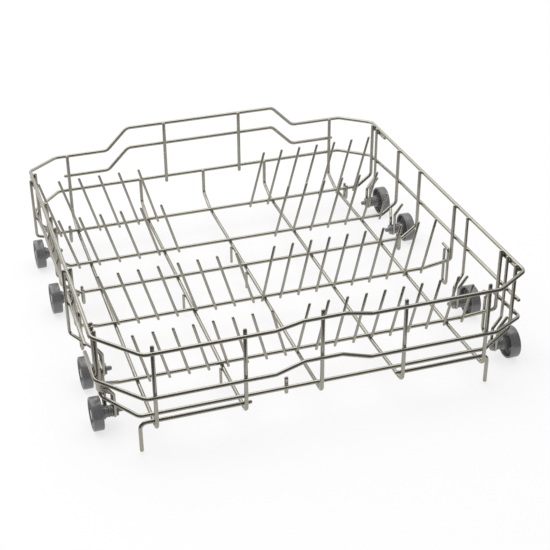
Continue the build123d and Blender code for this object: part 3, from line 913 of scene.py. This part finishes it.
def draw_wheel(look):
    """Wheel about the X axis with a cup and a boss on both faces, its outer face towards +X."""
    face = WHEEL_WIDTH / 2
    bore = AXLE_RADIUS + AXLE_CLEARANCE
    boss = bore + BOSS_WALL
    inside = WHEEL_RADIUS - WHEEL_RIM
    boss_end = face - WHEEL_WIDTH - AXLE_PLAY
    web_front = face - WHEEL_CUP
    web_back = web_front - WHEEL_WEB
    stations = [
        (face - WHEEL_RECESS, bore),
        (face - WHEEL_RECESS, boss),
        (web_front, boss),
        (web_front, inside),
        (face, inside + WHEEL_DRAFT),
        (face, WHEEL_RADIUS),
        (-face, WHEEL_RADIUS),
        (-face, inside + WHEEL_DRAFT),
        (web_back, inside),
        (web_back, boss),
        (boss_end, boss),
        (boss_end, bore),
        (face - WHEEL_RECESS, bore),
    ]
    obj = lathe("wheel_pattern", stations, look.segments)
    finish_mesh()
    round_edges(obj, look.wheel_edge)
    return obj


def draw_hub(look, at):
    """Fixed hub about the X axis: head, axle, collar, grooved body, neck, flange and tail."""
    face = WHEEL_WIDTH / 2
    head_end = WHEEL_RECESS - AXLE_PLAY
    body_start = at.collar_start + COLLAR_LENGTH
    stations = [
        (head_end - HEAD_THICKNESS, HEAD_FLAT),
        (head_end - HEAD_THICKNESS, HEAD_RADIUS),
        (head_end, HEAD_RADIUS),
        (head_end, AXLE_RADIUS),
        (at.collar_start, AXLE_RADIUS),
        (at.collar_start, COLLAR_RADIUS),
        (body_start, COLLAR_RADIUS),
        (body_start, HUB_RADIUS),
    ]
    groove = HUB_RADIUS - GROOVE_DEPTH
    for start, end in GROOVES:
        for share, radius in ((start, HUB_RADIUS), (start, groove), (end, groove), (end, HUB_RADIUS)):
            stations.append((body_start + share * HUB_LENGTH, radius))
    flange_end = at.neck_end + FLANGE_LENGTH
    tail_end = flange_end + TAIL_LENGTH
    stations += [
        (at.neck_start, HUB_RADIUS),
        (at.neck_start, NECK_RADIUS),
        (at.neck_end, NECK_RADIUS),
        (at.neck_end, HUB_RADIUS),
        (flange_end, HUB_RADIUS),
        (flange_end, TAIL_RADIUS),
        (tail_end - TAIL_RADIUS / 2, TAIL_RADIUS),
        (tail_end, TAIL_RADIUS / 2),
    ]
    outward = [(face - place, radius) for place, radius in stations]
    obj = lathe("hub_pattern", outward, look.segments)
    bpy.ops.mesh.edge_face_add()
    select_first_ring(obj, look.segments)
    bpy.ops.mesh.edge_face_add()
    finish_mesh()
    round_edges(obj, look.hub_edge)
    return obj


def place_copy(pattern, name, side, axle):
    """A copy of a turned pattern with its own mesh, at an axle, its outer face outwards."""
    obj = bpy.data.objects.new(name, pattern.data.copy())
    turn = Matrix.Identity(4) if side == "right" else Matrix.Rotation(math.pi, 4, "Z")
    obj.data.transform(Matrix.Translation(axle) @ turn)
    bpy.context.scene.collection.objects.link(obj)
    return obj


def remove(obj):
    """Delete a pattern once its copies are placed."""
    bpy.data.objects.remove(obj)


def new_material(name):
    """An empty node material with a Principled shader."""
    material = bpy.data.materials.new(name)
    material.use_nodes = True
    tree = material.node_tree
    return material, tree, tree.nodes["Principled BSDF"]


def node(tree, kind, **inputs):
    """Add a node and set its inputs by name."""
    made = tree.nodes.new(kind)
    for label, value in inputs.items():
        made.inputs[label.replace("_", " ")].default_value = value
    return made


def mottle(tree, scale, low, high):
    """Noise on Object coordinates mapped onto the range from low to high."""
    where = tree.nodes.new("ShaderNodeTexCoord")
    noise = node(tree, "ShaderNodeTexNoise", Scale=scale, Detail=NOISE_DETAIL)
    tree.links.new(where.outputs["Object"], noise.inputs["Vector"])
    spread = node(tree, "ShaderNodeMapRange", To_Min=low, To_Max=high)
    tree.links.new(noise.outputs["Fac"], spread.inputs["Value"])
    return spread.outputs["Result"]


def tinted(tree, colour, factor):
    """A colour made lighter or darker by a factor."""
    mix = tree.nodes.new("ShaderNodeVectorMath")
    mix.operation = "SCALE"
    mix.inputs[0].default_value = colour
    tree.links.new(factor, mix.inputs["Scale"])
    return mix.outputs["Vector"]


def add_relief(tree, shader, grain, strength):
    """Fine relief on a finish."""
    bump = node(tree, "ShaderNodeBump", Strength=strength, Distance=RELIEF_DEPTH)
    tree.links.new(mottle(tree, *grain), bump.inputs["Height"])
    tree.links.new(bump.outputs["Normal"], shader.inputs["Normal"])


def wire_finish():
    """Satin grey coating with a metallic sheen and a faint orange peel."""
    made = bpy.data.materials.get("satin_coating")
    if made:
        return made
    colour = bpy.context.scene.basket_finish.wire
    material, tree, shader = new_material("satin_coating")
    shader.inputs["Metallic"].default_value = WIRE_METALLIC
    tree.links.new(tinted(tree, colour, mottle(tree, *WIRE_TINT)), shader.inputs["Base Color"])
    tree.links.new(mottle(tree, *WIRE_ROUGHNESS), shader.inputs["Roughness"])
    add_relief(tree, shader, WIRE_PEEL, WIRE_PEEL_STRENGTH)
    return material


def plastic_finish(name, colour, roughness):
    """Moulded plastic with faint flow marks and a fine grain."""
    material, tree, shader = new_material(name)
    shader.inputs["Specular IOR Level"].default_value = PLASTIC_SPECULAR
    tree.links.new(tinted(tree, colour, mottle(tree, *PLASTIC_TINT)), shader.inputs["Base Color"])
    tree.links.new(mottle(tree, *roughness), shader.inputs["Roughness"])
    add_relief(tree, shader, PLASTIC_GRAIN, PLASTIC_GRAIN_STRENGTH)
    return material


def combined(tree, operation, first, second):
    """Two values brought together by a Math node."""
    made = tree.nodes.new("ShaderNodeMath")
    made.operation = operation
    tree.links.new(first, made.inputs[0])
    tree.links.new(second, made.inputs[1])
    return made.outputs["Value"]


def seen_directly(tree):
    """One where the camera, a reflection or a transmission looks, else zero."""
    path = tree.nodes.new("ShaderNodeLightPath")
    total = path.outputs["Is Camera Ray"]
    for other in ("Is Glossy Ray", "Is Transmission Ray"):
        total = combined(tree, "MAXIMUM", total, path.outputs[other])
    return total


def show_white(tree, share, lit, white, output):
    """Show plain white in place of the lit surface by a share."""
    mix = tree.nodes.new("ShaderNodeMixShader")
    tree.links.new(share, mix.inputs["Fac"])
    tree.links.new(lit, mix.inputs[1])
    tree.links.new(white, mix.inputs[2])
    tree.links.new(mix.outputs["Shader"], tree.nodes[output].inputs["Surface"])


def whitening(tree, glow):
    """Share of plain white on the floor, all of it away from the basket."""
    where = tree.nodes.new("ShaderNodeTexCoord")
    reach = tree.nodes.new("ShaderNodeVectorMath")
    reach.operation = "LENGTH"
    tree.links.new(where.outputs["Object"], reach.inputs[0])
    rise = node(
        tree, "ShaderNodeMapRange",
        From_Min=FLOOR_WHITE_FROM, From_Max=FLOOR_WHITE_TO, To_Min=glow, To_Max=1.0,
    )
    tree.links.new(reach.outputs["Value"], rise.inputs["Value"])
    return rise.outputs["Result"]


def floor_finish(colour, glow):
    """Pale floor that shows plain white under a soft shadow."""
    material, tree, shader = new_material("studio_floor")
    shader.inputs["Base Color"].default_value = (*colour, 1.0)
    shader.inputs["Roughness"].default_value = FLOOR_ROUGHNESS
    shader.inputs["Specular IOR Level"].default_value = 0.0
    white = node(tree, "ShaderNodeEmission", Strength=1.0)
    share = combined(tree, "MULTIPLY", seen_directly(tree), whitening(tree, glow))
    show_white(tree, share, shader.outputs["BSDF"], white.outputs["Emission"], "Material Output")
    return material


def light_world(stage):
    """Even world light that shows plain white where it is looked at."""
    world = bpy.data.worlds.new("studio")
    bpy.context.scene.world = world
    world.use_nodes = True
    tree = world.node_tree
    lit = tree.nodes["Background"]
    lit.inputs["Color"].default_value = WHITE
    lit.inputs["Strength"].default_value = stage.sky
    white = node(tree, "ShaderNodeBackground", Color=WHITE, Strength=1.0)
    shown = [shader.outputs["Background"] for shader in (lit, white)]
    show_white(tree, seen_directly(tree), *shown, "World Output")


def add_card(stage):
    """Dark card before the basket that only reflections see, falling away along both sides."""
    middle = (stage.card_front + stage.card_rear) / 2
    slope = (stage.card_front - stage.card_rear) / (2 * stage.card_radius)
    bpy.ops.mesh.primitive_cylinder_add(
        vertices=CARD_SIDES, radius=stage.card_radius, depth=stage.card_front, end_fill_type="NOTHING",
        location=(0.0, 0.0, stage.card_front / 2),
    )
    card = bpy.context.object
    card.name = "dark_card"
    bpy.ops.object.transform_apply(location=True, rotation=True, scale=True)
    bpy.ops.object.mode_set(mode="EDIT")
    bpy.ops.mesh.select_all(action="SELECT")
    cut = Vector((slope * math.sin(stage.azimuth), slope * math.cos(stage.azimuth), 1.0))
    bpy.ops.mesh.bisect(plane_co=(0.0, 0.0, middle), plane_no=cut.normalized(), clear_outer=True)
    bpy.ops.object.mode_set(mode="OBJECT")
    card.visible_camera = False
    card.visible_diffuse = False
    card.visible_transmission = False
    card.visible_shadow = False
    material, _, shader = new_material("dark_card")
    shader.inputs["Base Color"].default_value = (stage.card_tone, stage.card_tone, stage.card_tone, 1.0)
    shader.inputs["Roughness"].default_value = CARD_ROUGHNESS
    card.data.materials.append(material)
    return card


def aim_camera(stage):
    """Camera at the eye, turned, tipped and rolled as the stage says."""
    forward = Vector((
        math.sin(stage.azimuth) * math.cos(stage.pitch),
        math.cos(stage.azimuth) * math.cos(stage.pitch),
        -math.sin(stage.pitch),
    ))
    level = Vector((math.cos(stage.azimuth), -math.sin(stage.azimuth), 0.0))
    rise = level.cross(forward)
    right = level * math.cos(stage.roll) + rise * math.sin(stage.roll)
    up = rise * math.cos(stage.roll) - level * math.sin(stage.roll)
    bpy.ops.object.camera_add()
    camera = bpy.context.object
    camera.name = "photo_camera"
    turn = Matrix((right, up, -forward)).transposed().to_4x4()
    camera.matrix_world = Matrix.Translation(stage.eye) @ turn
    camera.data.sensor_width = SENSOR_WIDTH
    camera.data.lens = stage.focal_pixels * SENSOR_WIDTH / PICTURE_SIZE
    camera.data.shift_x = 0.5 - stage.centre_x / PICTURE_SIZE
    camera.data.shift_y = stage.centre_y / PICTURE_SIZE - 0.5
    bpy.context.scene.camera = camera


class BASKET_OT_rings(Operator):
    """Bend the rim, the rings and the rails"""

    bl_idname = "basket.rings"
    bl_label = "Rim, rings and rails"

    def execute(self, context):
        add_wire_group("rings")
        return {"FINISHED"}


class BASKET_OT_grid(Operator):
    """Bend the long wires and the cross wires of the floor"""

    bl_idname = "basket.grid"
    bl_label = "Floor grid"

    def execute(self, context):
        add_wire_group("grid")
        return {"FINISHED"}


class BASKET_OT_tines(Operator):
    """Stand the rows of leaning tines"""

    bl_idname = "basket.tines"
    bl_label = "Tines"

    def execute(self, context):
        add_wire_group("tines")
        return {"FINISHED"}


class BASKET_OT_posts(Operator):
    """Bend the foot wires, the rear bars and the front stub"""

    bl_idname = "basket.posts"
    bl_label = "Feet, bars and stub"

    def execute(self, context):
        add_wire_group("posts")
        return {"FINISHED"}


class BASKET_OT_clips(Operator):
    """Bend the wheel carriers and the hooks"""

    bl_idname = "basket.clips"
    bl_label = "Carriers and hooks"

    def execute(self, context):
        add_wire_group("clips")
        return {"FINISHED"}


class BASKET_OT_welds(Operator):
    """Put a weld at every spot where two wires touch"""

    bl_idname = "basket.welds"
    bl_label = "Welds"

    def execute(self, context):
        look = context.scene.basket_wires
        pattern = draw_weld(look)
        welds = []
        for place, across, along, radius in weld_points(Places(look)):
            sideways = across.cross(along).normalized()
            axes = Matrix((across.cross(sideways), sideways, across)).transposed().to_4x4()
            weld = bpy.data.objects.new("weld_beads", pattern.data.copy())
            weld.data.transform(Matrix.Translation(place) @ axes @ Matrix.Scale(radius, 4))
            context.scene.collection.objects.link(weld)
            welds.append(weld)
        if not welds:
            raise RuntimeError("no two wires touch")
        remove(pattern)
        dress(join_into(welds), BODY, wire_finish())
        return {"FINISHED"}


class BASKET_OT_wheels(Operator):
    """Mould the wheels"""

    bl_idname = "basket.wheels"
    bl_label = "Wheels"

    def execute(self, context):
        _, look, finish, _ = settings()
        material = plastic_finish("wheel_moulding", finish.wheel, WHEEL_ROUGHNESS)
        pattern = draw_wheel(look)
        for wheel, side, _, axle in axles():
            obj = place_copy(pattern, f"{wheel}_moulded", side, axle)
            dress(obj, wheel, material, [wheel])
        remove(pattern)
        return {"FINISHED"}


class BASKET_OT_hubs(Operator):
    """Mould the hubs that carry the wheels"""

    bl_idname = "basket.hubs"
    bl_label = "Hubs"

    def execute(self, context):
        wires, look, finish, _ = settings()
        material = plastic_finish("hub_moulding", finish.hub, HUB_ROUGHNESS)
        pattern = draw_hub(look, Places(wires))
        for _, side, number, axle in axles():
            hub = f"hub_{side}_{number + 1}"
            obj = place_copy(pattern, f"{hub}_moulded", side, axle)
            dress(obj, BODY, material, [hub])
        remove(pattern)
        return {"FINISHED"}


class BASKET_OT_stage(Operator):
    """Set the floor, the dark card, the lamp, the world and the camera"""

    bl_idname = "basket.stage"
    bl_label = "Studio"

    def execute(self, context):
        _, _, finish, stage = settings()
        bpy.ops.mesh.primitive_plane_add(size=stage.floor_size)
        floor = context.object
        floor.name = "studio_floor"
        floor.data.materials.append(floor_finish(finish.floor, stage.floor_glow))
        add_card(stage)
        bpy.ops.object.light_add(type="AREA", location=stage.key_place)
        key = context.object
        key.name = "overhead_lamp"
        key.data.energy = stage.key_power
        key.data.size = stage.key_size
        key.rotation_euler = (-Vector(stage.key_place)).to_track_quat("-Z", "Y").to_euler()
        light_world(stage)
        aim_camera(stage)
        context.scene.view_settings.view_transform = "Standard"
        return {"FINISHED"}


class BASKET_PT_panel(Panel):
    """Lists the steps and sizes of the basket"""

    bl_label = "Dishwasher basket"
    bl_idname = "BASKET_PT_panel"
    bl_space_type = "VIEW_3D"
    bl_region_type = "UI"
    bl_category = "Basket"

    def draw(self, context):
        for group in settings():
            box = self.layout.box()
            for name in group.__annotations__:
                box.prop(group, name)
        for step in STEPS:
            self.layout.operator(step.bl_idname)


STEPS = (
    BASKET_OT_rings,
    BASKET_OT_grid,
    BASKET_OT_tines,
    BASKET_OT_posts,
    BASKET_OT_clips,
    BASKET_OT_welds,
    BASKET_OT_wheels,
    BASKET_OT_hubs,
    BASKET_OT_stage,
)
CLASSES = (*SETTINGS.values(), *STEPS, BASKET_PT_panel)


def register():
    """Register the classes and hang the settings on the scene."""
    for cls in CLASSES:
        bpy.utils.register_class(cls)
    for name, group in SETTINGS.items():
        setattr(bpy.types.Scene, name, PointerProperty(type=group))


def unregister():
    """Take the settings and the classes away again."""
    for name in SETTINGS:
        delattr(bpy.types.Scene, name)
    for cls in reversed(CLASSES):
        bpy.utils.unregister_class(cls)


def main():
    """Build the basket step by step."""
    register()
    bpy.ops.basket.rings()
    bpy.ops.basket.grid()
    bpy.ops.basket.tines()
    bpy.ops.basket.posts()
    bpy.ops.basket.clips()
    bpy.ops.basket.welds()
    bpy.ops.basket.wheels()
    bpy.ops.basket.hubs()
    bpy.ops.basket.stage()


if __name__ == "__main__":
    main()
